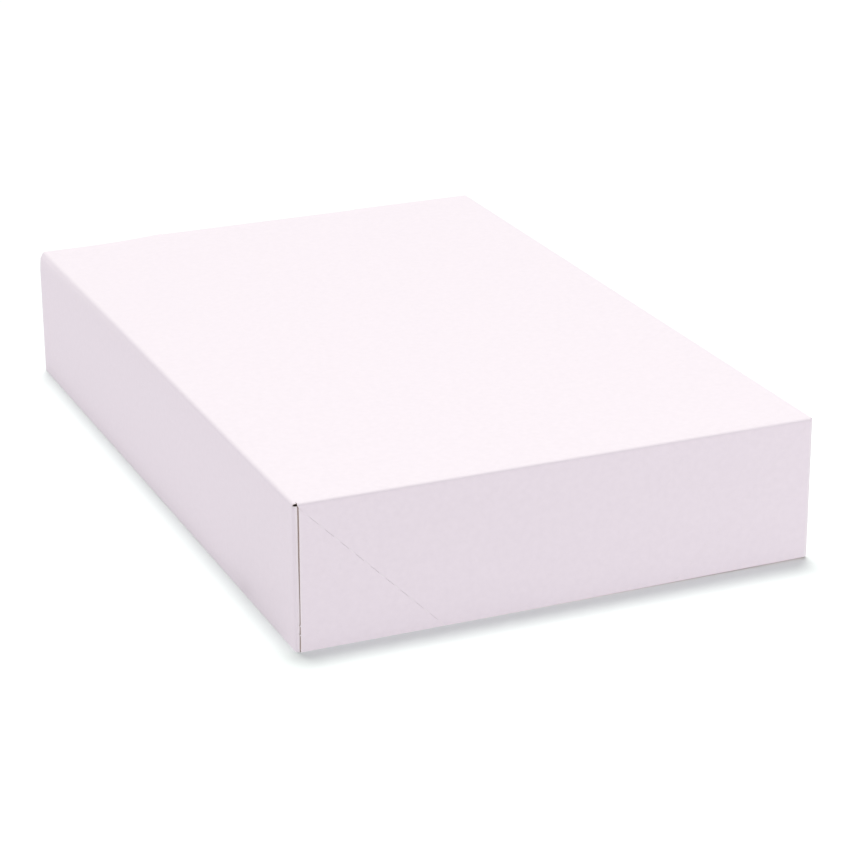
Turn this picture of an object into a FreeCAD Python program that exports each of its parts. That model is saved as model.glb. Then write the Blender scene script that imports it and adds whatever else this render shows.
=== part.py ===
import FreeCAD, Part
import math
import os
from dataclasses import dataclass

from FreeCAD import Vector

# A pre-glued folding carton for a dozen doughnuts, closed, lengths in millimetres.
# It is one die-cut sheet of thin coated board: a tray, and a full-depth lid hinged along
# the top of the tray's back wall. Each wall, web and tab between two creases is a piece.
# X runs across the box, Y from the front panel to the hinge, Z up from the table.

# The closed box, over its outer faces
outer_width = 210.0
outer_depth = 325.0
outer_height = 57.7

# The board, and the film of glue between a tab and the web that it holds
board = 0.5
glue_film = 0.1

# How the lid sits over the tray
lid_side_clearance = 0.8
lid_front_clearance = 0.6
lid_top_clearance = 2.0
lid_foot_clearance = 0.2
lid_rear_setback = 0.2

# Outer radii of the folded creases
lid_side_fold = 1.2
lid_front_fold = 1.0
lid_corner_fold = 1.75
tray_side_fold = 1.2
tray_end_fold = 1.0
tray_corner_fold = 1.6
hinge_fold = 1.2
hinge_end_gap = 0.5

# The 45 degree crease of each glued corner, and the cuts that make it fold easily
diagonal_start = 0.2
slit_length = 4.6
slit_land = 3.5
slit_width = 0.25
slit_first = 8.3

# The free cut edge of a web, measured in from the side's outer face
web_edge_near = 2.1
web_edge_free = 1.75
web_curve_length = 7.0
web_curve_slope_share = 1.25

# Stubs left on the lid's web edges where the die held the sheet together
nick_lower = 6.6
nick_upper = 10.1
nick_reach = 0.45
nick_width = 0.5

# The tab of each glued corner
tab_width = 24.0
tab_shoulder = 3.0
tab_short = 0.8
tab_bevel_width = 4.0
tab_bevel_length = 7.0

# The glue patch on each tab
patch_setback = 4.0
patch_slope_gap = 5.0
patch_free_gap = 10.0

# The small arched window where three creases meet
window_offset = 1.6
window_depth = 1.7
window_radius = 1.2

# How far a cutting tool runs past what it cuts
overrun = 1.0


@dataclass
class Shell:
    """A panel lying at Z 0 with its walls standing up: the tray as it stands, the lid upside down."""
    half_width: float
    half_depth: float
    height: float
    side_fold: float
    end_fold: float
    corner_fold: float

    def diagonal(self, level):
        """X of the left front diagonal crease at this distance from the panel."""
        return -self.half_width + diagonal_start + level

    def web_edge(self, level):
        """X of the left web's straight cut edge at this distance from the panel."""
        start = self.end_fold + web_curve_length
        share = (level - start) / (self.height - start)
        return -self.half_width + web_edge_near + (web_edge_free - web_edge_near) * share

    def tab_face(self):
        """Y of the outer face of the front tabs, behind the web and the glue."""
        return -self.half_depth + board + glue_film


def swept(points, sweep):
    """The solid swept by a flat outline with straight sides."""
    return Part.Face(Part.makePolygon(points + points[:1])).extrude(sweep)


def line(start, end):
    return Part.LineSegment(start, end).toShape()


def quarter(start, end, centre):
    """The quarter circle from start to end round the centre."""
    half_way = (start - centre) + (end - centre)
    half_way.normalize()
    return Part.Arc(start, centre + half_way * start.distanceToPoint(centre), end).toShape()


def block(low, high):
    """The box between its lowest and highest corners."""
    size = high - low
    return Part.makeBox(size.x, size.y, size.z, low)


def folded_section(place, height, fold):
    """Section of a wall and its crease: place turns (distance in, level) into a point."""
    outer_low, outer_high = place(0, fold), place(0, height)
    inner_high, inner_low = place(board, height), place(board, fold)
    panel_top, panel_under = place(fold, board), place(fold, 0)
    edges = [
        line(outer_low, outer_high),
        line(outer_high, inner_high),
        line(inner_high, inner_low),
        quarter(inner_low, panel_top, place(fold, fold)),
        line(panel_top, panel_under),
        quarter(panel_under, outer_low, place(fold, fold)),
    ]
    return Part.Face(Part.Wire(edges))


def mirrored_x(shape):
    return shape.mirror(Vector(0, 0, 0), Vector(1, 0, 0))


def mirrored_y(shape):
    return shape.mirror(Vector(0, 0, 0), Vector(0, 1, 0))


def slits(shell):
    """The row of cuts along the left front diagonal crease."""
    slope = math.sqrt(2) / 2
    along = Vector(slope, 0, slope)
    across = Vector(slope, 0, -slope) * (slit_width / 2)
    start = Vector(-shell.half_width + diagonal_start, -shell.half_depth - overrun, 0)
    through = Vector(0, board + 2 * overrun, 0)
    pitch = slit_length + slit_land
    room = shell.height / slope - slit_first + slit_land
    row = []
    for number in range(int(room / pitch)):
        first = start + along * (slit_first + number * pitch)
        last = first + along * slit_length
        row.append(swept([first - across, last - across, last + across, first + across], through))
    return Part.makeCompound(row)


def end_wall(shell, height):
    """The front wall between its two diagonal creases, with its fold to the panel."""
    reach = shell.half_width - shell.side_fold

    def place(inward, level):
        return Vector(-reach, -shell.half_depth + inward, level)

    wall = folded_section(place, height, shell.end_fold).extrude(Vector(2 * reach, 0, 0))
    near, far = -shell.half_depth - overrun, -shell.half_depth + shell.end_fold + overrun
    low, high = shell.diagonal(shell.end_fold), shell.diagonal(height)
    web_side = swept(
        [
            Vector(-shell.half_width - overrun, near, shell.end_fold),
            Vector(low, near, shell.end_fold),
            Vector(high, near, height),
            Vector(high, near, height + overrun),
            Vector(-shell.half_width - overrun, near, height + overrun),
        ],
        Vector(0, far - near, 0),
    )
    cuts = slits(shell)
    return wall.cut(web_side).cut(mirrored_x(web_side)).cut(cuts).cut(mirrored_x(cuts))


def web(shell, nicks):
    """The left front web: the triangle beyond the diagonal crease, glued to the side's tab."""
    face = -shell.half_depth
    tip = Vector(shell.diagonal(shell.end_fold), face, shell.end_fold)
    curve_end = Vector(-shell.half_width + web_edge_near, face, shell.end_fold + web_curve_length)
    curve_rise = (curve_end.x - tip.x) * web_curve_slope_share
    curve = Part.BezierCurve()
    curve.setPoles([tip, Vector(curve_end.x, face, tip.z + curve_rise), curve_end])
    free_end = Vector(-shell.half_width + web_edge_free, face, shell.height)
    crease_end = Vector(shell.diagonal(shell.height), face, shell.height)
    edges = [
        curve.toShape(),
        line(curve_end, free_end),
        line(free_end, crease_end),
        line(crease_end, tip),
    ]
    thickness = Vector(0, board, 0)
    piece = Part.Face(Part.Wire(edges)).extrude(thickness)
    for height in nicks:
        level = shell.height - height
        edge = shell.web_edge(level)
        stub = [
            Vector(edge + nick_width, face, level - nick_width / 2),
            Vector(edge - nick_reach, face, level - nick_width / 4),
            Vector(edge - nick_reach, face, level + nick_width / 4),
            Vector(edge + nick_width, face, level + nick_width / 2),
        ]
        piece = piece.fuse(swept(stub, thickness))
    return piece.removeSplitter().cut(slits(shell))


def glue_tab(shell):
    """The left side's front tab, which lies behind the web and stays clear of its crease."""
    face = shell.tab_face()
    fold_line = -shell.half_width + shell.corner_fold
    wide = fold_line + tab_width
    end = shell.height - tab_short
    outline = [
        Vector(fold_line, face, window_depth),
        Vector(wide, face, wide - shell.diagonal(0) + tab_shoulder),
        Vector(wide, face, end - tab_bevel_length),
        Vector(wide - tab_bevel_width, face, end),
        Vector(fold_line, face, end),
    ]
    return swept(outline, Vector(0, board, 0))


def glue_patch(shell):
    """The film of glue between the left front web and its tab."""
    left = -shell.half_width + shell.corner_fold + patch_setback
    right = left + tab_width - 2 * patch_setback
    top = shell.height - patch_free_gap
    slope_base = shell.diagonal(0) - patch_slope_gap
    outline = [
        Vector(left, shell.tab_face(), left - slope_base),
        Vector(right, shell.tab_face(), right - slope_base),
        Vector(right, shell.tab_face(), top),
        Vector(left, shell.tab_face(), top),
    ]
    return swept(outline, Vector(0, -glue_film, 0))


def corner_block(shell, inset):
    """What the left front corner's outer faces enclose, drawn in by the inset."""
    left, front = -shell.half_width, shell.tab_face()
    turn = Vector(left + shell.corner_fold, front + shell.corner_fold, 0)
    front_inner, front_bend = Vector(0, front + inset, 0), Vector(turn.x, front + inset, 0)
    side_bend, side_inner = Vector(left + inset, turn.y, 0), Vector(left + inset, 0, 0)
    plan = [
        line(front_inner, front_bend),
        quarter(front_bend, side_bend, turn),
        line(side_bend, side_inner),
        line(side_inner, Vector(0, 0, 0)),
        line(Vector(0, 0, 0), front_inner),
    ]
    upright = Part.Face(Part.Wire(plan)).extrude(Vector(0, 0, shell.height + inset))

    level = left + shell.side_fold
    fold_centre = Vector(level, 0, shell.side_fold)
    under, rise = Vector(level, 0, inset), Vector(left + inset, 0, shell.side_fold)
    top = shell.height + inset
    section = [
        line(Vector(0, 0, inset), under),
        quarter(under, rise, fold_centre),
        line(rise, Vector(left + inset, 0, top)),
        line(Vector(left + inset, 0, top), Vector(0, 0, top)),
        line(Vector(0, 0, top), Vector(0, 0, inset)),
    ]
    lying = Part.Face(Part.Wire(section)).extrude(Vector(0, -shell.half_depth, 0))
    return upright.common(lying)


def glued_half(shell):
    """The front half of the left side wall, bent round into its tab at the front corner."""
    skin = corner_block(shell, 0).cut(corner_block(shell, board))
    past_fold = Vector(-shell.half_width + shell.side_fold, -shell.half_depth, 0)
    panel_zone = block(past_fold, Vector(overrun, overrun, shell.end_fold))
    past_corner = Vector(-shell.half_width + shell.corner_fold, -shell.half_depth, board)
    tab_zone = block(past_corner, Vector(overrun, overrun, shell.height + overrun))
    window_centre = Vector(-shell.half_width + window_offset, -shell.half_depth, window_depth)
    reach = board + glue_film + shell.corner_fold
    window = Part.makeCylinder(window_radius, reach, window_centre, Vector(0, 1, 0))
    lower_half = block(
        window_centre - Vector(window_radius, 0, window_radius),
        window_centre + Vector(window_radius, reach, 0),
    )
    return skin.cut(panel_zone).cut(tab_zone).cut(window.common(lower_half))


def plain_half(shell, rear):
    """The rear half of a left side wall that ends in a plain cut edge."""
    def place(inward, level):
        return Vector(-shell.half_width + inward, 0, level)

    return folded_section(place, shell.height, shell.side_fold).extrude(Vector(0, rear, 0))


def joined(first, second):
    return first.fuse(second).removeSplitter()


half_width = outer_width / 2
half_depth = outer_depth / 2
lid = Shell(
    half_width=half_width,
    half_depth=half_depth,
    height=outer_height - lid_foot_clearance,
    side_fold=lid_side_fold,
    end_fold=lid_front_fold,
    corner_fold=lid_corner_fold,
)
tray_front = half_depth - 2 * board - glue_film - lid_front_clearance
tray = Shell(
    half_width=half_width - board - lid_side_clearance,
    half_depth=(half_depth + tray_front) / 2,
    height=outer_height - board - lid_top_clearance,
    side_fold=tray_side_fold,
    end_fold=tray_end_fold,
    corner_fold=tray_corner_fold,
)
tray_shift = half_depth - tray.half_depth
hinge_half_length = -tray.diagonal(tray.height) - hinge_end_gap


def tray_pieces():
    """The tray: base, four walls, and a web, a tab and a glue patch at each corner."""
    floor = block(
        Vector(-tray.half_width + tray.side_fold, -tray.half_depth + tray.end_fold, 0),
        Vector(tray.half_width - tray.side_fold, tray.half_depth - tray.end_fold, board),
    )
    half = glued_half(tray)
    left = joined(half, mirrored_y(half))
    pieces = {
        "tray_base_panel": floor,
        "tray_front_wall": end_wall(tray, tray.height),
        "tray_back_wall": mirrored_y(end_wall(tray, outer_height - hinge_fold)),
        "tray_left_wall": left,
        "tray_right_wall": mirrored_x(left),
    }
    corner = {"web": web(tray, ()), "glue_tab": glue_tab(tray), "glue_patch": glue_patch(tray)}
    for name, shape in corner.items():
        pieces["tray_front_left_" + name] = shape
        pieces["tray_front_right_" + name] = mirrored_x(shape)
        pieces["tray_back_left_" + name] = mirrored_y(shape)
        pieces["tray_back_right_" + name] = mirrored_x(mirrored_y(shape))
    for shape in pieces.values():
        shape.translate(Vector(0, tray_shift, 0))
    return pieces


def lid_pieces():
    """The lid: top, front panel, two sides, and a web, a tab and a glue patch at each front corner."""
    rear = lid.half_depth - lid_rear_setback
    side = lid.half_width - lid.side_fold
    top = block(Vector(-side, -lid.half_depth + lid.end_fold, 0), Vector(side, rear, board))
    crease_room = block(
        Vector(-hinge_half_length - hinge_end_gap, lid.half_depth - hinge_fold, -overrun),
        Vector(hinge_half_length + hinge_end_gap, lid.half_depth, board + overrun),
    )
    left = joined(glued_half(lid), plain_half(lid, rear))
    pieces = {
        "lid_top_panel": top.cut(crease_room),
        "lid_front_panel": end_wall(lid, lid.height),
        "lid_left_panel": left,
        "lid_right_panel": mirrored_x(left),
    }
    corner = {"web": web(lid, (nick_lower, nick_upper)), "glue_tab": glue_tab(lid), "glue_patch": glue_patch(lid)}
    for name, shape in corner.items():
        pieces["lid_left_" + name] = shape
        pieces["lid_right_" + name] = mirrored_x(shape)
    closed = {}
    for name, shape in pieces.items():
        closed[name] = shape.mirror(Vector(0, 0, 0), Vector(0, 0, 1))
        closed[name].translate(Vector(0, 0, outer_height))
    return closed


def hinge_crease():
    """The bent strip of board between the top of the back wall and the lid."""
    centre = Vector(-hinge_half_length, half_depth - hinge_fold, outer_height - hinge_fold)
    inner_fold = hinge_fold - board
    wall_outer, lid_outer = centre + Vector(0, hinge_fold, 0), centre + Vector(0, 0, hinge_fold)
    wall_inner, lid_inner = centre + Vector(0, inner_fold, 0), centre + Vector(0, 0, inner_fold)
    edges = [
        quarter(wall_outer, lid_outer, centre),
        line(lid_outer, lid_inner),
        quarter(lid_inner, wall_inner, centre),
        line(wall_inner, wall_outer),
    ]
    return Part.Face(Part.Wire(edges)).extrude(Vector(2 * hinge_half_length, 0, 0))


parts = {**tray_pieces(), **lid_pieces(), "lid_hinge_crease": hinge_crease()}
os.makedirs("parts", exist_ok=True)
for name, shape in parts.items():
    shape.exportStep("parts/" + name + ".step")
    solids = len(shape.Solids)
    print(f"{name}: {solids} solid, valid {shape.isValid()}, {shape.Volume:.2f} mm3")
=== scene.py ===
import math
from dataclasses import dataclass, replace

import bmesh
import bpy
import numpy as np
from mathutils import Matrix, Vector


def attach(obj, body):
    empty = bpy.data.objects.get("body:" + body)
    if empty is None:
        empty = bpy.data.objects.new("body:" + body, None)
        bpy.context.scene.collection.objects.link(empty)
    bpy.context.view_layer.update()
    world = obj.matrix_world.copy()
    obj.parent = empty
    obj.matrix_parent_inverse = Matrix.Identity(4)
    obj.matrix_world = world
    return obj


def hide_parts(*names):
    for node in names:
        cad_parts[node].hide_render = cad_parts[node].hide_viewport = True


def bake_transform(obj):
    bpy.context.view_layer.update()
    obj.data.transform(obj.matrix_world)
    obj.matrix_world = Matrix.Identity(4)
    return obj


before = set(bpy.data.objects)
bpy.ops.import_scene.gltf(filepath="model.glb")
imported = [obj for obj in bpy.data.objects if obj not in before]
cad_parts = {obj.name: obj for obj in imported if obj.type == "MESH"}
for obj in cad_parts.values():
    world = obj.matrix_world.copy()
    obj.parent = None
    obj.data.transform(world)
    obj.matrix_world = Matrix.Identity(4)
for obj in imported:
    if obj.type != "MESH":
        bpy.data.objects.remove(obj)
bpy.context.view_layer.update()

# The photographer's stand: a long lens 1.2 m away, a far lamp high behind the box and a weak one
# low in front, in a pale room, so the top is bright and a narrow shadow lies in front. The white
# table glows softly for all but the camera, a painted glow standing in for the light it throws
# back, and it is kept dark beside and under the box as painted shade.
camera_place = (-0.42030, -1.02829, 0.44215)
camera_turn = math.radians(-22.900)
camera_tilt = math.radians(90 - 21.086)
camera_roll = math.radians(-0.354)
bpy.context.scene.view_settings.view_transform = "Standard"
lens = bpy.data.cameras.new("camera")
lens.sensor_width = 36.0
lens.lens = 120.341
camera = bpy.data.objects.new("camera", lens)
bpy.context.collection.objects.link(camera)
camera.matrix_world = (
    Matrix.Translation(camera_place)
    @ Matrix.Rotation(camera_turn, 4, "Z")
    @ Matrix.Rotation(camera_tilt, 4, "X")
    @ Matrix.Rotation(camera_roll, 4, "Z")
)
bpy.context.scene.camera = camera

lamp_heading = (-2.9, -11.2, -57.7)
lamp = bpy.data.lights.new("overhead_lamp", "SUN")
lamp.angle = math.radians(15.5)
lamp.energy = 2.0
lamp.color = (1.015, 1.028, 0.985)
lamp_object = bpy.data.objects.new("overhead_lamp", lamp)
lamp_object.rotation_euler = Vector(lamp_heading).to_track_quat("-Z", "Y").to_euler()
bpy.context.collection.objects.link(lamp_object)
fill_place = (0.25, -0.45, 0.06)
fill = bpy.data.lights.new("front_fill", "AREA")
fill.size = 0.3
fill.energy = 0.10
fill_object = bpy.data.objects.new("front_fill", fill)
fill_object.location = fill_place
fill_object.rotation_euler = (-Vector(fill_place)).to_track_quat("-Z", "Y").to_euler()
fill_object.visible_camera = False
bpy.context.collection.objects.link(fill_object)


def add_node(tree, kind, inputs=None, **settings):
    """A new node of this kind with its settings, its inputs set to values or linked to sockets."""
    node = tree.nodes.new(kind)
    for name, value in settings.items():
        setattr(node, name, value)
    for name, value in (inputs or {}).items():
        if isinstance(value, bpy.types.NodeSocket):
            tree.links.new(value, node.inputs[name])
        else:
            node.inputs[name].default_value = value
    return node


def mixed(tree, factor, first, second, blend_type="MIX"):
    """One colour mixed into another by a factor."""
    node = add_node(tree, "ShaderNodeMix", data_type="RGBA", blend_type=blend_type)
    for number, value in ((0, factor), (6, first), (7, second)):
        if isinstance(value, bpy.types.NodeSocket):
            tree.links.new(value, node.inputs[number])
        else:
            node.inputs[number].default_value = (*value, 1.0) if number else value
    return node.outputs[2]


def ranged(tree, value, low=0.0, high=1.0, first=0.0, last=1.0):
    """A value from low to high turned evenly into one from first to last, and held between them."""
    inputs = {"Value": value, "From Min": low, "From Max": high, "To Min": first, "To Max": last}
    return add_node(tree, "ShaderNodeMapRange", inputs).outputs["Result"]


def worked(tree, operation, first, second):
    """One number worked out from two by a maths operation."""
    inputs = {0: first, 1: second}
    return add_node(tree, "ShaderNodeMath", inputs, operation=operation).outputs["Value"]


room_level = 0.477
room_white = (1.0, 1.0, 1.0, 1.0)
world = bpy.data.worlds.new("pale_room")
bpy.context.scene.world = world
world.use_nodes = True
room = world.node_tree
room.nodes.clear()
seen = add_node(room, "ShaderNodeLightPath").outputs["Is Camera Ray"]
room_strength = ranged(room, seen, first=room_level)
room_inputs = {"Color": room_white, "Strength": room_strength}
room_light = add_node(room, "ShaderNodeBackground", room_inputs).outputs["Background"]
add_node(room, "ShaderNodeOutputWorld", {"Surface": room_light})

table_half = 30.0
table_drop = 0.00002
table_paint = (0.18, 0.18, 0.18)
table_seen = (0.948, 0.995, 0.988)
table_tint = (1.02, 0.99, 1.025, 1.0)
table_bounce = 0.95
shade_centre = (0.0, 0.010, 0.0)
shade_half = (0.1045, 0.153, 1.0)
shade_reach = 0.025
shade_power = 0.095
nothing = (0.0, 0.0, 0.0)
table_mesh = bpy.data.meshes.new("white_table")
table_corners = [(x, y, -table_drop) for x, y in ((-1, -1), (1, -1), (1, 1), (-1, 1))]
table_mesh.from_pydata(table_corners, [], [(0, 1, 2, 3)])
table_mesh.transform(Matrix.Diagonal((table_half, table_half, 1.0, 1.0)))
table = bpy.data.objects.new("white_table", table_mesh)
bpy.context.collection.objects.link(table)
table_white = bpy.data.materials.new("table_white")
table_white.use_nodes = True
paint = table_white.node_tree
paint.nodes.clear()
seen = add_node(paint, "ShaderNodeLightPath").outputs["Is Camera Ray"]
table_tone = mixed(paint, seen, table_paint, table_seen)

# There is no glow over a rectangle under the box: painted shade round its foot. Beyond that it
# grows as a small power of the distance from the rectangle, and is full where the distance is its
# reach.
beyond = add_node(paint, "ShaderNodeTexCoord").outputs["Object"]
for operation, value in (
    ("SUBTRACT", shade_centre),
    ("ABSOLUTE", nothing),
    ("SUBTRACT", shade_half),
    ("MAXIMUM", nothing),
):
    step = add_node(paint, "ShaderNodeVectorMath", {0: beyond, 1: value}, operation=operation)
    beyond = step.outputs["Vector"]
distance = add_node(paint, "ShaderNodeVectorMath", {0: beyond}, operation="LENGTH")
open_share = ranged(paint, distance.outputs["Value"], high=shade_reach)
lit_share = worked(paint, "POWER", open_share, shade_power)
table_light = worked(paint, "MULTIPLY", lit_share, table_bounce)
table_surface = add_node(
    paint,
    "ShaderNodeBsdfPrincipled",
    {
        "Base Color": table_tone,
        "Roughness": 1.0,
        "Specular IOR Level": 0.0,
        "Emission Color": table_tint,
        "Emission Strength": ranged(paint, seen, first=table_light, last=0.0),
    },
)
add_node(paint, "ShaderNodeOutputMaterial", {"Surface": table_surface.outputs["BSDF"]})
table_mesh.materials.append(table_white)

# The lid's top: one flat stretch of 0.5 mm carton board, clay-coated white outside and plain
# brown inside, die-cut and creased along three edges. At the back it is cut free from the
# tray, except between the two ends of the hinge crease, where it is notched for the fold.
board = 0.5
glue_film = 0.1
diagonal_start = 0.2
cloud_span = (0.3, 0.7)
fibre_span = (0.35, 0.65)
fibre_share = 0.35


def paper_grain():
    """Shader group: the cloudy mottle of pressed pulp and the short fibres that lie along Y.

    The mottle is noise, and the fibres are noise squeezed across their run. The height is the
    mottle with a share of the fibres mixed in.
    """
    group = bpy.data.node_groups.new("paper_grain", "ShaderNodeTree")
    group.interface.new_socket("Position", in_out="INPUT", socket_type="NodeSocketVector")
    for name in ("Mottle", "Fibres", "Height"):
        group.interface.new_socket(name, in_out="OUTPUT", socket_type="NodeSocketFloat")
    place = group.nodes.new("NodeGroupInput").outputs["Position"]
    clouds = add_node(
        group,
        "ShaderNodeTexNoise",
        {"Vector": place, "Scale": 420.0, "Detail": 4.0, "Roughness": 0.65},
    )
    squeezed = {"Vector": place, "Scale": (4200.0, 700.0, 1600.0)}
    laid = add_node(group, "ShaderNodeMapping", squeezed)
    fibres = add_node(
        group,
        "ShaderNodeTexNoise",
        {"Vector": laid.outputs["Vector"], "Scale": 1.0, "Detail": 3.0, "Distortion": 1.2},
    )
    height = add_node(
        group,
        "ShaderNodeMix",
        {"Factor": fibre_share, "A": clouds.outputs["Fac"], "B": fibres.outputs["Fac"]},
    )
    given = group.nodes.new("NodeGroupOutput")
    group.links.new(clouds.outputs["Fac"], given.inputs["Mottle"])
    group.links.new(fibres.outputs["Fac"], given.inputs["Fibres"])
    group.links.new(height.outputs["Result"], given.inputs["Height"])
    return group


grain = paper_grain()


def new_finish(name):
    """A material with an empty tree, the position on the piece, and the grain placed there."""
    finish = bpy.data.materials.new(name)
    finish.use_nodes = True
    tree = finish.node_tree
    tree.nodes.clear()
    place = add_node(tree, "ShaderNodeTexCoord").outputs["Object"]
    paper = add_node(tree, "ShaderNodeGroup", node_tree=grain)
    tree.links.new(place, paper.inputs["Position"])
    return finish, tree, place, paper.outputs


def ramp(tree, value, *stops):
    """A colour ramp read at a value, its stops given as (position, colour)."""
    node = add_node(tree, "ShaderNodeValToRGB", {"Fac": value})
    elements = node.color_ramp.elements
    while len(elements) < len(stops):
        elements.new(0.5)
    for element, (position, colour) in zip(elements, stops):
        element.position = position
        element.color = (*colour, 1.0)
    return node.outputs["Color"]


def marked(tree, name):
    """How much of a mark there is here: a number that the mesh holds at each point."""
    return add_node(tree, "ShaderNodeAttribute", attribute_name=name).outputs["Fac"]


def matt_surface(tree, colour, rough, bumps, specular):
    """The surface that ends a finish: its colour, roughness and gloss, and the bumps on it."""
    surface = add_node(
        tree,
        "ShaderNodeBsdfPrincipled",
        {
            "Base Color": colour,
            "Roughness": rough,
            "Specular IOR Level": specular,
            "Normal": add_node(tree, "ShaderNodeBump", bumps).outputs["Normal"],
        },
    )
    add_node(tree, "ShaderNodeOutputMaterial", {"Surface": surface.outputs["BSDF"]})


def coated_face():
    """Clay-coated white with a lilac cast: faint mottle, a duller line at folds, rare specks.

    The fold mark mixes the dull colour into the white, making folds darker; the bare-and-highlight
    mark mixes in the pulp's pale colour, a painted highlight on lands, cut edges and the window's
    lip; and a speck lies at the middle of each cell of a loose pattern, where that is near the
    surface.
    """
    coat_low, coat_high = (0.897, 0.821, 0.883), (0.927, 0.851, 0.913)
    dull, pulp, dust = (0.84, 0.765, 0.83), (0.97, 0.93, 0.95), (0.30, 0.22, 0.30)
    # How much of the dull colour goes into the white along folds, making them darker.
    fold_darkening = 0.45
    speck_span, speck_strength = (0.006, 0.013), 0.13
    finish, tree, place, paper = new_finish("coated_face")
    colour = ramp(tree, paper["Mottle"], *zip(cloud_span, (coat_low, coat_high)))
    colour = mixed(tree, worked(tree, "MULTIPLY", marked(tree, "fold"), fold_darkening), colour, dull)
    # Painted highlight: the pale pulp colour mixed in by the bare-and-highlight mark, on raised
    # lands, along cut edges and on the window's lip, where bare pulp shows too.
    colour = mixed(tree, marked(tree, "bare_and_highlight"), colour, pulp)
    pattern = {"Vector": place, "Scale": 19.0, "Randomness": 1.0}
    cells = add_node(tree, "ShaderNodeTexVoronoi", pattern).outputs["Distance"]
    speck = ranged(tree, cells, *speck_span, first=speck_strength, last=0.0)
    colour = mixed(tree, speck, colour, dust)
    rough = ranged(tree, paper["Mottle"], *cloud_span, first=0.50, last=0.60)
    bumps = {"Height": paper["Height"], "Strength": 0.35, "Distance": 0.00003}
    matt_surface(tree, colour, rough, bumps, specular=0.35)
    return finish


def brown_back():
    """Unbleached inside face: warm brown, cloudy, with light and dark fibres pressed into it.

    The brown is a ramp over the mottle, times a ramp over the fibres.
    """
    brown_low, brown_high = (0.300, 0.190, 0.125), (0.380, 0.250, 0.165)
    strand_low, strand_high = (0.86, 0.84, 0.82), (1.12, 1.13, 1.15)
    strand_share = 0.8
    finish, tree, _, paper = new_finish("brown_back")
    brown = ramp(tree, paper["Mottle"], *zip(cloud_span, (brown_low, brown_high)))
    strands = ramp(tree, paper["Fibres"], *zip(fibre_span, (strand_low, strand_high)))
    colour = mixed(tree, strand_share, brown, strands, blend_type="MULTIPLY")
    rough = ranged(tree, paper["Fibres"], *cloud_span, first=0.82, last=0.92)
    bumps = {"Height": paper["Height"], "Strength": 0.6, "Distance": 0.00006}
    matt_surface(tree, colour, rough, bumps, specular=0.2)
    return finish


def cut_edge():
    """Cut edge of the board: white coat, pale pulp, then the brown liner, read by depth.

    The layers are a ramp over the depth, from 0 outside to 1 inside, times one over the fibres.
    """
    coat, pulp = (0.0, (0.88, 0.81, 0.86)), (0.35, (0.84, 0.77, 0.79))
    darker, liner = (0.75, (0.74, 0.63, 0.58)), (1.0, (0.42, 0.29, 0.20))
    strand_low, strand_high = (0.93, 0.92, 0.91), (1.0, 1.0, 1.0)
    finish, tree, _, paper = new_finish("cut_edge")
    layers = ramp(tree, marked(tree, "depth"), coat, pulp, darker, liner)
    strands = ramp(tree, paper["Fibres"], *zip(fibre_span, (strand_low, strand_high)))
    colour = mixed(tree, 1.0, layers, strands, blend_type="MULTIPLY")
    rough = ranged(tree, paper["Fibres"], first=0.80, last=0.95)
    bumps = {"Height": paper["Height"], "Strength": 0.7, "Distance": 0.00006}
    matt_surface(tree, colour, rough, bumps, specular=0.2)
    return finish


board_finishes = (coated_face(), brown_back(), cut_edge())
coat_slot, back_slot, edge_slot = range(len(board_finishes))


@dataclass
class Shell:
    """A panel lying at level 0 with its walls standing up, set in the box: lengths in mm."""
    half_width: float
    half_depth: float
    height: float
    side_fold: float
    end_fold: float
    corner_fold: float
    foot: float
    rise: float
    shift: float
    lift: float = 0.0

    def place(self, x, y, level, side=1, end=1):
        """Points of the left front corner put in the box, mirrored to its other side or end.

        The box leans: the walls' free edges stand off by a lift that grows from nothing at the
        left to its full value at the right, as the square of the distance.
        """
        x, y, level = np.broadcast_arrays(side * x, end * y + self.shift, level)
        share = (x + self.half_width) / (2 * self.half_width)
        level = level * (1 - self.lift / self.height * share**2)
        return np.stack([x, y, self.foot + self.rise * level], axis=-1)

    def tab_face(self):
        """Y of the outer face of the front tabs, behind the web and the film of glue."""
        return -self.half_depth + board + glue_film

    def diagonal(self, level):
        """X of the left front diagonal crease: from its start at the corner, in by the level."""
        return -self.half_width + diagonal_start + level


lid = Shell(
    half_width=105.0,
    half_depth=162.5,
    height=57.66,
    side_fold=1.2,
    end_fold=1.0,
    corner_fold=1.75,
    foot=57.7,
    rise=-1,
    shift=0.0,
    lift=0.75,
)
rear_gap = 0.2
rear_tuck = 1.5
tuck_start = 80.0
droop_depth = 1.45
droop_reach = 80.0
hinge_half = 47.0
hinge_fold = 1.2
hinge_gap = 0.5
millimetre = 0.001
# How far into the cut edge's colours the split's core reads: darker than the coat, the core and
# painted shade in the slit.
core_shade_depth = 0.7
weld_distance = 0.000002
sharp_angle = math.radians(38)


def tucked(distance, length):
    """How far in the left side's fold runs this far along it: as the square of the share."""
    return rear_tuck * (distance / length) ** 2


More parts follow.
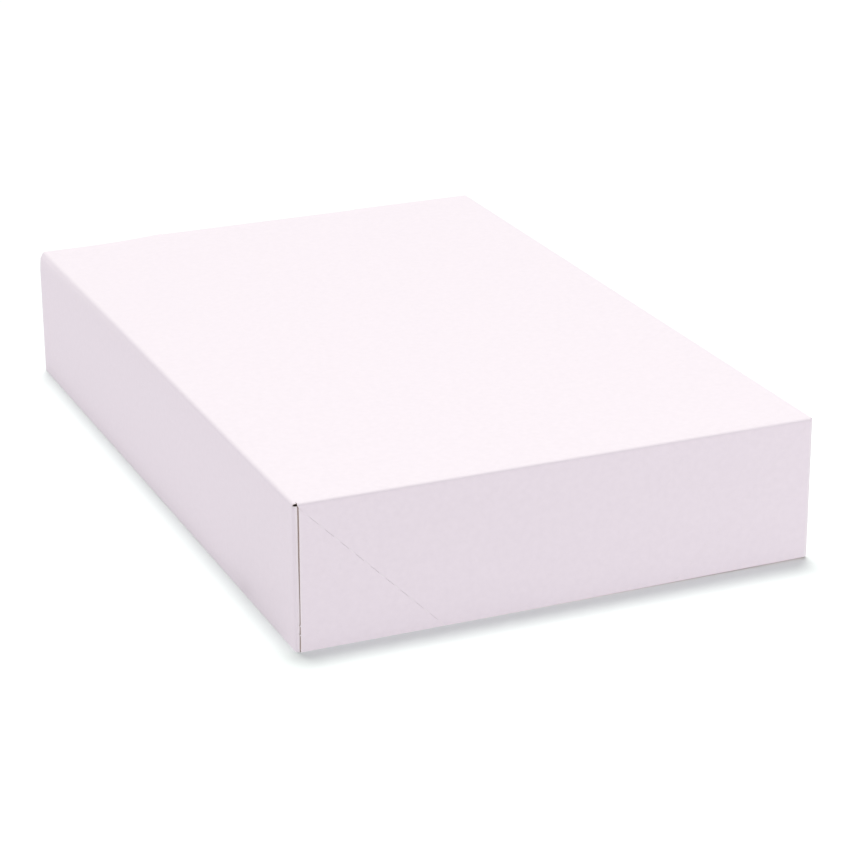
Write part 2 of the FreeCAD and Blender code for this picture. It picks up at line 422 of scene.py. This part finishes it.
def board_piece(name, outer, inner, body, kept=None, split=None, **marks):
    """A closed piece of board between two grids of points in millimetres.

    Each kept cell makes a face on the outer grid, looking out, and one on the inner grid,
    looking in. A cell edge that no other kept cell shares gets a rim face between the grids.
    Where the outer face is split, the cell shows the core of the board, coloured darker than the
    coat, which also paints the shade in the slit. The marks say how much of a fold, and of painted
    highlight and bare pulp, there is at each outer point.
    """
    rows, columns = outer.shape[:2]
    count = rows * columns
    number = np.arange(count).reshape(rows, columns)
    cells = np.stack([number[:-1, :-1], number[:-1, 1:], number[1:, 1:], number[1:, :-1]], axis=-1)
    kept = np.ones(cells.shape[:2], dtype=bool) if kept is None else kept
    core = np.zeros_like(kept) if split is None else split
    cells, core = cells[kept], core[kept]
    points = np.concatenate([outer.reshape(-1, 3), inner.reshape(-1, 3)])
    first, second, third = points[cells[:, 0]], points[cells[:, 1]], points[cells[:, 2]]
    facing = np.cross(second - first, third - second)
    if (facing * (first - points[cells[:, 0] + count])).sum() < 0:
        cells = cells[:, ::-1]
    edges = np.stack([cells, np.roll(cells, -1, axis=1)], axis=-1).reshape(-1, 2)
    alone = ~np.isin(edges @ (2 * count, 1), edges @ (1, 2 * count))
    start, stop = edges[alone].T
    rim = np.stack([stop, start, start + count, stop + count], axis=1)
    faces = np.concatenate([cells, cells[:, ::-1] + count, rim])
    mesh = bpy.data.meshes.new(name)
    mesh.from_pydata((points * millimetre).tolist(), [], faces.tolist())
    for finish in board_finishes:
        mesh.materials.append(finish)
    face_slots = np.where(core, edge_slot, coat_slot)
    other_slots = np.repeat((back_slot, edge_slot), (len(cells), len(rim)))
    mesh.polygons.foreach_set("material_index", np.concatenate([face_slots, other_slots]))
    in_core = np.zeros(count)
    in_core[np.unique(cells[core])] = core_shade_depth
    values = {"depth": np.concatenate([in_core, np.ones(count)])}
    for mark in ("fold", "bare_and_highlight"):
        shown = np.broadcast_to(marks.get(mark, 0.0), (rows, columns)).ravel()
        values[mark] = np.tile(shown, 2)
    for attribute, value in values.items():
        layer = mesh.attributes.new(attribute, "FLOAT", "POINT")
        layer.data.foreach_set("value", value.astype(np.float32))
    welded = bmesh.new()
    welded.from_mesh(mesh)
    loose = [vertex for vertex in welded.verts if not vertex.link_faces]
    bmesh.ops.delete(welded, geom=loose, context="VERTS")
    bmesh.ops.remove_doubles(welded, verts=welded.verts, dist=weld_distance)
    welded.to_mesh(mesh)
    welded.free()
    mesh.shade_smooth()
    mesh.set_sharp_from_angle(angle=sharp_angle)
    piece = bpy.data.objects.new(name, mesh)
    bpy.context.collection.objects.link(piece)
    if body:
        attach(piece, body)
    return piece


def near_fold(distance):
    """How much of the fold mark there is here: 1 on the crease's line, fading as a bell over 1 mm.
    """
    return np.exp(-np.square(distance))


def steps(low, high, pitch):
    """Evenly spaced values from low to high, about a pitch apart."""
    return np.linspace(low, high, max(2, round(abs(high - low) / pitch) + 1))


def rear_droop(x, y):
    """How far the top hangs at its left rear corner, where nothing holds it, in mm.

    It is deepest there and falls off as a bell to the front. Across, it falls to nothing at
    the hinge as 1 less the fourth power of the share of the way, to the power of 1.5.
    """
    share = np.clip((x + lid.half_width) / (lid.half_width - hinge_half), 0, 1)
    across = (1 - share**4) ** 1.5
    return droop_depth * across * np.exp(-np.square((lid.half_depth - y) / droop_reach))


top_side = lid.half_width - lid.side_fold
top_rear = lid.half_depth - rear_gap
top_front = -lid.half_depth + lid.end_fold
top_sag = 0.25
notch_half = hinge_half + hinge_gap
notch_front = lid.half_depth - hinge_fold
left_rows = np.array((0.0, 0.45, 1.5))
right_rows = np.array((1.5, 0.5, 0.0))
front_rows = np.array((0.0, 0.35, 1.5))
inner_row = 5.0
rear_row = 157.0
fine_pitch = 5.0
wall_pitch = 6.0
wide_pitch = 8.0
x = np.concatenate([
    -top_side + left_rows,
    steps(-top_side + inner_row, -notch_half, fine_pitch),
    steps(-notch_half + wide_pitch / 2, notch_half - wide_pitch / 2, wide_pitch),
    steps(notch_half, top_side - inner_row, wide_pitch),
    top_side - right_rows,
])
y = np.concatenate([
    top_front + front_rows,
    steps(top_front + inner_row, rear_row, wide_pitch),
    (notch_front, top_rear),
])
x, y = np.meshgrid(x, y)
sag = top_sag * (1 - (x / top_side) ** 2) * (1 - (y / top_rear) ** 2) + rear_droop(x, y)

# The hinge's notch and the first cell, which lies in the window at the left front corner, are
# cut out.
cut_out = (np.abs(x[1:, 1:] + x[:-1, :-1]) / 2 < notch_half) & (y[1:, 1:] > notch_front)
cut_out[0, 0] = True
front_distance = y - top_front + lid.end_fold * math.pi / 4
side_distance = top_side - np.abs(x) + lid.side_fold * math.pi / 4
tuck = tucked(y - lid.tab_face(), top_rear - lid.tab_face())
x = x + tuck * np.clip((-x - tuck_start) / (top_side - tuck_start), 0, 1)
top = board_piece(
    "lid_top_sheet",
    lid.place(x, y, sag),
    lid.place(x, y, sag + board),
    "lid",
    kept=~cut_out,
    fold=np.maximum(near_fold(front_distance), near_fold(side_distance)),
)
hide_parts("lid_top_panel")

# The lid's front wall: the stretch between its two 45 degree creases, folded down sharply from
# the top. A row of short cuts along each diagonal lets the pre-glued corner fold flat.
slit_length = 4.6
slit_pitch = 8.1
slit_first = 8.3
slit_least = 1.7
slit_taper = 0.15
slit_gap = 0.04
loose_gap = 0.047
tight_gap = 0.012
land_height = 0.10
front_land_share = 0.2
notch_end = 1.9
notch_run = 0.7
notch_width = 0.45
fold_turns = np.radians([0, 1, 10, 20, 30, 40, 50, 60, 70, 80, 89, 90])


def section(level, fold, inset, radius=None):
    """Where a wall and its bend lie: how far in from the outer face, and at what level.

    The bend is a quarter circle. A point turned by an angle lies the radius less the sine of
    the angle times (radius less inset) in, and the same with the cosine in level. The rows are
    set out for a fold; the radius may be wider or tighter than that from place to place.
    """
    radius = fold if radius is None else radius
    turned = np.arccos(np.clip(1 - np.asarray(level) / fold, 0, 1))
    inward = radius - (radius - inset) * np.sin(turned)
    return inward, np.where(level < fold, radius - (radius - inset) * np.cos(turned), level)


def bend_levels(fold):
    """Levels of the rows round a bend: the fold's radius times (1 less the turn's cosine)."""
    return fold * (1 - np.cos(fold_turns))


def along_bend(level, fold):
    """Distance over the outer face from the middle of a bend."""
    turned = np.arccos(np.clip(1 - np.asarray(level) / fold, 0, 1))
    return fold * (turned - math.pi / 4) + np.maximum(level - fold, 0)


def slit_rows(shell):
    """Levels where a cut opens or closes or a land stands highest, and what each level has.

    Two functions come with the levels: how open the cut is there, from 0 to 1, and how high
    the land between two cuts stands, from 0 at its ends to 1 at its middle. Lengths along the
    crease become levels by the sine of 45 degrees.
    """
    rise = math.sqrt(0.5)
    count = int((shell.height * math.sqrt(2) - slit_first + slit_pitch - slit_length) / slit_pitch)
    number = np.arange(-1, count)
    start = np.maximum(slit_first + slit_pitch * number, slit_least) * rise
    stop = (slit_first + slit_pitch * number + slit_length) * rise
    middle = stop + (slit_pitch - slit_length) / 2 * rise
    knots = np.stack([start, start + slit_taper, stop - slit_taper, stop, middle], axis=1).ravel()
    opened = np.tile((0.0, 1.0, 1.0, 0.0, 0.0), len(number))
    risen = np.tile((0.0, 0.0, 0.0, 0.0, 1.0), len(number))
    return (
        knots,
        lambda level: np.interp(level, knots, opened),
        lambda level: np.interp(level, knots, risen),
    )


def end_wall(shell, height, bow, gaps=(slit_gap, slit_gap), notch=0.0):
    """Outer and inner grids of a front wall, between its diagonal creases and round its fold.

    The wall bows out as the square of the level, most at its middle. The notch takes that much
    off the left end of the fold, where the corner's window is. The marks are the fold along the
    top and a painted highlight on the raised lands of both diagonals.
    """
    knots, opening, land = slit_rows(shell)
    straight = steps(shell.end_fold, height, wall_pitch)
    flat = np.unique(np.concatenate([straight, knots[knots < height], [notch_end]]))
    level = np.concatenate([bend_levels(shell.end_fold), flat[flat > shell.end_fold]])[:, None]
    edge = shell.diagonal(np.maximum(level, shell.end_fold))
    cut_back = notch * np.clip((notch_end - level) / notch_run, 0, 1)
    left = edge + opening(level) * gaps[0] + cut_back
    right = -edge - opening(level) * gaps[1]
    inside = np.array((0.0, 0.25, 1.0, 3.0))
    share = np.concatenate([0 * inside, steps(0, 1, 0.06)[1:-1], 1 + 0 * inside])
    x = left + (right - left) * share
    x[:, : len(inside)] += inside
    x[:, -len(inside) :] -= inside[::-1]
    ridge = np.zeros_like(x)
    ridge[:, [0, -1]] = land(level)
    swell = bow * np.clip(1 - (x / edge) ** 2, 0, 1) * (level / height) ** 2
    stand_off = swell + front_land_share * land_height * ridge
    grids = []
    for inset in (0.0, board):
        inward, raised = section(level, shell.end_fold, inset)
        grids.append((x, -shell.half_depth + inward - stand_off, raised))
    fold = near_fold(along_bend(level, shell.end_fold)) + 0 * x
    return grids[0], grids[1], {"fold": fold, "bare_and_highlight": ridge}


outer, inner, marks = end_wall(
    lid,
    lid.height,
    bow=0.15,
    gaps=(loose_gap, tight_gap),
    notch=notch_width,
)
front = board_piece("lid_front_sheet", lid.place(*outer), lid.place(*inner), "lid", **marks)
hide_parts("lid_front_panel")

# The lid's long sides: folded down over a softer crease, and bent round at the front into the
# tabs. Where three creases meet, the die takes out a small arched window.
window_offset = 1.45
window_depth = 1.35
window_radius = 1.35
rim_end = 1.8
rim_lean = 0.15
least_row = 0.02
hair = 1e-9
rows_past_bend = np.array((1.0, 3.0))
first_step = 1.6
tuck_depth = 2.4
# A thin line where each side's bend meets its tab is mixed paler by these two.
pale_line_width = 0.12
pale_line_strength = 0.6
radius_levels = (4.0, 22.0, 42.0)
window_turns = np.radians([46, 54, 58, 62, 65, 75, 85])


def side_wall(shell, rear, bow, radii, window=window_radius, tuck=0.0, both_ends=False):
    """Outer and inner grids of the left wall, round its fold and its corner bends.

    The wall stands in from the outer face by whichever of its two bends is deeper there. Rows
    below the window shrink under its arch, and the cells in the window are left out. The lip
    under the window leans in, and is painted pale as a highlight where bare pulp shows. A thin line
    where the bend meets the tab is mixed paler. Where the fold is tucked in, the wall below it
    leans, as a bell over the first few millimetres, and where the top hangs, the upper edge comes
    down with it.
    """
    window_turn = math.asin(max(0.0, 1 - (window_offset - window) / shell.corner_fold))
    turns = np.unique(np.concatenate([fold_turns, [window_turn], window_turns]))
    bend = shell.corner_fold * (1 - np.cos(turns))
    length = -shell.tab_face() if both_ends else rear - shell.tab_face()
    flat = steps(bend[-1] + wide_pitch, length, wide_pitch)
    along = np.concatenate([bend, bend[-1] + rows_past_bend, flat])
    face, _ = section(along, shell.corner_fold, 0.0)
    arch = window_depth - np.sqrt(np.clip(window**2 - (face - window_offset) ** 2, 0, None))
    closed = along > bend[turns == window_turn][0] - hair
    arch = np.where(closed, window_depth, np.maximum(arch, least_row))
    bends = bend_levels(shell.side_fold)
    below = np.append(bends[bends < window_depth - least_row], window_depth) / window_depth
    higher = bends[bends > window_depth + least_row]
    straight = steps(shell.side_fold + first_step, shell.height, wall_pitch)
    above = np.unique(np.concatenate([(window_depth, rim_end), higher, straight]))
    level = np.concatenate([below[:, None] * arch, above[:, None] + 0 * arch])
    open_cells = np.zeros((len(level) - 1, len(along) - 1), dtype=bool)
    open_cells[len(below) - 1] = np.minimum(arch[1:], arch[:-1]) < window_depth - hair
    open_cells[: len(below) - 1, np.maximum(arch[1:], arch[:-1]) < 1.5 * least_row] = True
    under_arch = arch < window_depth - hair
    lip = np.clip((rim_end - level) / (rim_end - window_depth), 0, 1) * under_arch
    lip[: len(below)] = 0.0
    lip[:, 0] = 0.0
    radius = np.interp(level, (*radius_levels, shell.height), radii)
    lean = tuck * tucked(along, length) * np.exp(-np.square(level / tuck_depth))
    grids = []
    for inset in (0.0, board):
        from_face = inset + rim_lean * lip
        in_x, from_tab = section(along + 0 * level, shell.corner_fold, from_face, radius)
        fold_in, raised = section(level, shell.side_fold, inset)
        share = from_tab / from_tab.max() * (0.5 if both_ends else 1.0)
        swell = bow * np.sin(np.pi * share) ** 2 * (level / shell.height) ** 2
        x = -shell.half_width + np.maximum(in_x, fold_in) + lean - swell
        y = shell.tab_face() + from_tab
        hang = tuck * rear_droop(-shell.half_width, y) * (1 - raised / shell.height)
        grids.append((x, y, raised + hang))
    corner = near_fold(along_bend(along, shell.corner_fold))
    fold = np.maximum(near_fold(along_bend(level, shell.side_fold)), corner)
    # A thin line where the bend meets the tab is mixed paler; the lip is painted pale as a
    # highlight.
    pale_bend_line = pale_line_strength * np.exp(-np.square(along / pale_line_width)) * (level > window_depth - hair)
    bare_and_highlight = np.maximum(pale_bend_line, lip)
    if both_ends:
        grids = [
            [np.concatenate([v, sign * v[:, -2::-1]], axis=1) for v, sign in zip(grid, (1, -1, 1))]
            for grid in grids
        ]
        open_cells = np.concatenate([open_cells, open_cells[:, ::-1]], axis=1)
        fold, bare_and_highlight = (np.concatenate([v, v[:, -2::-1]], axis=1) for v in (fold, bare_and_highlight))
    return grids[0], grids[1], ~open_cells, {"fold": fold, "bare_and_highlight": bare_and_highlight}


loose_radii = (1.66, 1.6, 1.75, 1.38)
tight_lid = replace(lid, corner_fold=1.0)
tight_radii = (1.0, 1.0, 1.0, 1.0)
lid_sides = (
    ("left", 1, side_wall(lid, top_rear, bow=-0.15, radii=loose_radii, tuck=1.0)),
    ("right", -1, side_wall(tight_lid, top_rear, bow=0.2, radii=tight_radii, window=0.0)),
)
for word, side, (outer, inner, kept, marks) in lid_sides:
    wall = board_piece(
        f"lid_{word}_sheet",
        lid.place(*outer, side=side),
        lid.place(*inner, side=side),
        "lid",
        kept=kept,
        **marks,
    )
    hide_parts(f"lid_{word}_panel")

# The lid's webs and tabs: each front corner is a triangle of the front wall beyond the diagonal
# crease, glued over the tab at the end of the side. The left corner is loose, so its bend was
# strained until the coat split along it; two nicks in the web's cut edge bridge the split. The
# core there is coloured darker, which paints the shade in the split as well.
nick_heights = (6.7, 10.3)
nick_reach = 0.45
nick_rows = (-0.25, -0.12, 0.12, 0.25)
nick_shape = (0.0, 1.0, 1.0, 0.0)
curve_length = 7.0
curve_share = 1.25
narrow_web = 12.0
# The painted highlight along each web's cut edge: its width in mm, and its strength.
edge_highlight_width = 0.3
edge_highlight_strength = 0.7
split_depth = 0.38
split_reach = 0.25
split_least = 0.3
split_step = 0.04
tab_width = 24.0
tab_clearance = 0.8
tab_slope_gap = 3.0
tab_cut_width = 4.0
tab_cut_height = 7.0
tab_least = 0.2
level_gap = 0.01


def cut_edge_line(shell, near, free, tip_level):
    """Levels and places of a web's cut edge: how far in from the corner's outer face it runs.

    It leaves the tip on a curve of second degree, and then runs nearly straight to the foot.
    """
    tip = shell.half_width + shell.diagonal(tip_level)
    share = np.linspace(0, 1, 10)
    weights = np.stack([(1 - share) ** 2, 2 * share * (1 - share), share**2])
    turn_level = tip_level + abs(near - tip) * curve_share
    levels = (tip_level, turn_level, tip_level + curve_length) @ weights
    return np.append(levels, shell.height), np.append((tip, near, near) @ weights, free)


def nick_knots(shell, nicks):
    """Levels where each nick starts, is whole and ends, for nicks at heights above the foot."""
    return np.sort([shell.height - height + row for height in nicks for row in nick_rows])


def corner_web(shell, line, gap=slit_gap, nicks=()):
    """Outer and inner grids of the left front web, from its cut edge to the diagonal crease.

    Each row runs straight across, with its points close together near both edges. The
    bare-and-highlight mark, a painted highlight, fades as a bell from the cut edge, and is full
    on the lands of the crease.
    """
    knots, opening, land = slit_rows(shell)
    nick_levels = nick_knots(shell, nicks)
    curve_end = line[0][-2]
    rows = np.concatenate([steps(curve_end, shell.height, fine_pitch), knots, nick_levels])
    flat = np.unique(rows[(rows > curve_end + level_gap) & (rows < shell.height + level_gap)])
    level = np.concatenate([line[0][:-1], flat])[:, None]
    left = -shell.half_width + np.interp(level, *line)
    right = shell.diagonal(level) - opening(level) * gap
    inside = np.array((0.0, 0.2, 0.45, 1.2)) * np.clip((right - left) / narrow_web, 0, 1)
    share = np.array((0, 0, 0, 0, 0.1, 0.25, 0.4, 0.55, 0.7, 0.85, 1, 1, 1, 1))
    x = left + (right - left) * share
    x[:, :4] += inside
    x[:, -4:] -= inside[:, ::-1]
    # Painted highlight along the cut edge, fading as a bell from it.
    bare_and_highlight = edge_highlight_strength * np.exp(-np.square((x - left) / edge_highlight_width))
    if len(nick_levels):
        tooth = np.interp(level[:, 0], nick_levels, np.tile(nick_shape, len(nicks)))
        x[:, 0] -= nick_reach * tooth
    ridge = np.zeros_like(x)
    ridge[:, -1] = land(level[:, 0]) * (level[:, 0] > shell.end_fold + board)
    face = -shell.half_depth - land_height * ridge
    marks = {"bare_and_highlight": np.maximum(bare_and_highlight, ridge)}
    return (x, face, level + 0 * x), (x, face + board, level + 0 * x), marks


def corner_tab(shell, radii, line=None, nicks=()):
    """Outer and inner grids of the left front tab, whose slope keeps clear of the diagonal.

    Where a web's cut edge is given, the coat is split from the bend to just behind that edge:
    the outer face steps down to the core there, and back up at each nick. The core's darker
    colour in the split is also painted shade.
    """
    low = shell.height - tab_clearance
    wide = -shell.half_width + shell.corner_fold + tab_width
    slope_end = wide - shell.diagonal(0) + tab_slope_gap
    corner_levels = (window_depth, slope_end, low - tab_cut_height, low)
    corner_x = (shell.diagonal(window_depth), wide, wide, wide - tab_cut_width)
    nick_levels = nick_knots(shell, nicks)
    near_rows = (2.2, 3.6)
    straight = steps(window_depth, low, fine_pitch)
    level = np.unique(np.concatenate([straight, corner_levels, near_rows, nick_levels]))[:, None]
    start = -shell.half_width + np.interp(level, (*radius_levels, shell.height), radii)
    right = np.interp(level, corner_levels, corner_x)
    if line is None:
        right = np.maximum(right, start + tab_least)
        x = start + (right - start) * np.linspace(0, 1, 7)
        face = shell.tab_face() + 0 * x
        return (x, face, level + 0 * x), (x, face + board, level + 0 * x), None
    web_edge = -shell.half_width + np.interp(level, *line)
    stop = np.maximum(web_edge + split_reach, start + split_least)
    right = np.maximum(right, stop + tab_least)
    rest = stop + split_step + (right - stop - split_step) * np.linspace(0, 1, 6)
    x = np.concatenate([start, start + split_step, stop, rest], axis=1)
    whole = np.interp(level[:, 0], nick_levels, np.tile(nick_shape, len(nicks)))
    sunk = np.zeros_like(x)
    sunk[:, 1:3] = split_depth * (1 - whole)[:, None]
    face = shell.tab_face() + 0 * x
    split = np.zeros((len(level) - 1, x.shape[1] - 1), dtype=bool)
    split[:, :3] = ((whole[1:] + whole[:-1]) < 1.5)[:, None]
    return (x, face + sunk, level + 0 * x), (x, face + board, level + 0 * x), split


left_line = cut_edge_line(lid, near=2.12, free=1.74, tip_level=1.85)
right_line = cut_edge_line(lid, near=1.05, free=1.35, tip_level=1.0)
left_web = corner_web(lid, left_line, loose_gap, nick_heights)
left_tab = corner_tab(lid, loose_radii, left_line, nick_heights)
right_web = corner_web(lid, right_line, tight_gap)
right_tab = corner_tab(tight_lid, tight_radii)
for word, side, web_grids, tab_grids in (
    ("left", 1, left_web, left_tab),
    ("right", -1, right_web, right_tab),
):
    outer, inner, marks = web_grids
    web = board_piece(
        f"lid_{word}_web_sheet",
        lid.place(*outer, side=side),
        lid.place(*inner, side=side),
        "lid",
        **marks,
    )
    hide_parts(f"lid_{word}_web")
    outer, inner, split = tab_grids
    tab = board_piece(
        f"lid_{word}_glue_tab_sheet",
        lid.place(*outer, side=side),
        lid.place(*inner, side=side),
        "lid",
        split=split,
    )
    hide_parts(f"lid_{word}_glue_tab")

# The hinge: the only stretch of the rear edge that isn't cut, a crease 94 mm long where
# the board bends from the back wall into the lid.
hinge_low = lid.foot - hinge_fold
hinge_pitch = 4.0
hinge_rows = 13
x = steps(-hinge_half, hinge_half, hinge_pitch)
turned = np.linspace(0, math.pi / 2, hinge_rows)[:, None]
grids = []
for radius in (hinge_fold, hinge_fold - board):
    y = lid.half_depth - hinge_fold + radius * np.cos(turned)
    z = hinge_low + radius * np.sin(turned)
    grids.append(np.stack(np.broadcast_arrays(x, y, z), axis=-1))
crease = board_piece("hinge_crease_sheet", grids[0], grids[1], None, fold=1.0)
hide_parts("lid_hinge_crease")
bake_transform(crease)

# The tray's base: one flat stretch of the same board, brown side up under the doughnuts. It is
# creased to a wall along each of its four edges, and lies flat on the table.
tray = Shell(
    half_width=103.7,
    half_depth=161.65,
    height=55.2,
    side_fold=1.2,
    end_fold=1.0,
    corner_fold=1.6,
    foot=0.0,
    rise=1,
    shift=0.85,
)
base_side = tray.half_width - tray.side_fold
base_end = tray.half_depth - tray.end_fold
x, y = np.meshgrid(steps(-base_side, base_side, wide_pitch), steps(-base_end, base_end, wide_pitch))
base = board_piece("tray_base_sheet", tray.place(x, y, 0.0), tray.place(x, y, board), "tray")
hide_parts("tray_base_panel")

# The tray's end walls: as the lid's front, between two diagonals with rows of short cuts. The
# back wall stops a little lower, where the hinge crease starts.
outer, inner, marks = end_wall(tray, tray.height, bow=0.0)
wall = board_piece("tray_front_sheet", tray.place(*outer), tray.place(*inner), "tray", **marks)
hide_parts("tray_front_wall")
outer, inner, marks = end_wall(tray, hinge_low, bow=0.0)
wall = board_piece(
    "tray_back_sheet",
    tray.place(*outer, end=-1),
    tray.place(*inner, end=-1),
    "tray",
    **marks,
)
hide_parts("tray_back_wall")

# The tray's long walls: folded up from the base over a crease, and bent round at both ends into
# the tabs that lie behind the end walls.
tray_radii = (1.6, 1.6, 1.6, 1.6)
outer, inner, kept, marks = side_wall(tray, 0.0, bow=0.0, radii=tray_radii, both_ends=True)
for word, side in (("left", 1), ("right", -1)):
    wall = board_piece(
        f"tray_{word}_sheet",
        tray.place(*outer, side=side),
        tray.place(*inner, side=side),
        "tray",
        kept=kept,
        **marks,
    )
    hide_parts(f"tray_{word}_wall")

# The tray's webs and tabs: at each of its four corners, a triangle of the end wall beyond the
# diagonal crease is die-cut free and glued over the tab of the long wall.
tray_line = cut_edge_line(tray, near=2.0, free=1.6, tip_level=1.0)
web_outer, web_inner, marks = corner_web(tray, tray_line)
tab_outer, tab_inner, _ = corner_tab(tray, tray_radii)
for end_word, end in (("front", 1), ("back", -1)):
    for side_word, side in (("left", 1), ("right", -1)):
        corner = f"tray_{end_word}_{side_word}"
        web = board_piece(
            f"{corner}_web_sheet",
            tray.place(*web_outer, side=side, end=end),
            tray.place(*web_inner, side=side, end=end),
            "tray",
            **marks,
        )
        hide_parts(f"{corner}_web")
        tab = board_piece(
            f"{corner}_glue_tab_sheet",
            tray.place(*tab_outer, side=side, end=end),
            tray.place(*tab_inner, side=side, end=end),
            "tray",
        )
        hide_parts(f"{corner}_glue_tab")


# The glue: a thin film of white glue, pressed out between each web and its tab and set there.
# There are six in all, two in the lid and four in the tray.
def set_glue():
    """Dried glue: milky and slightly yellow, uneven where it was pressed out.

    Its colour and its roughness follow the mottle, which also bumps its surface.
    """
    glue_low, glue_high = (0.72, 0.68, 0.56), (0.80, 0.77, 0.68)
    finish, tree, _, paper = new_finish("set_glue")
    colour = ramp(tree, paper["Mottle"], *zip(cloud_span, (glue_low, glue_high)))
    rough = ranged(tree, paper["Mottle"], first=0.30, last=0.55)
    bumps = {"Height": paper["Mottle"], "Strength": 0.5, "Distance": 0.00005}
    matt_surface(tree, colour, rough, bumps, specular=0.5)
    return finish


glue = set_glue()
for name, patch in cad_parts.items():
    if name.endswith("glue_patch"):
        patch.data.materials.clear()
        patch.data.materials.append(glue)
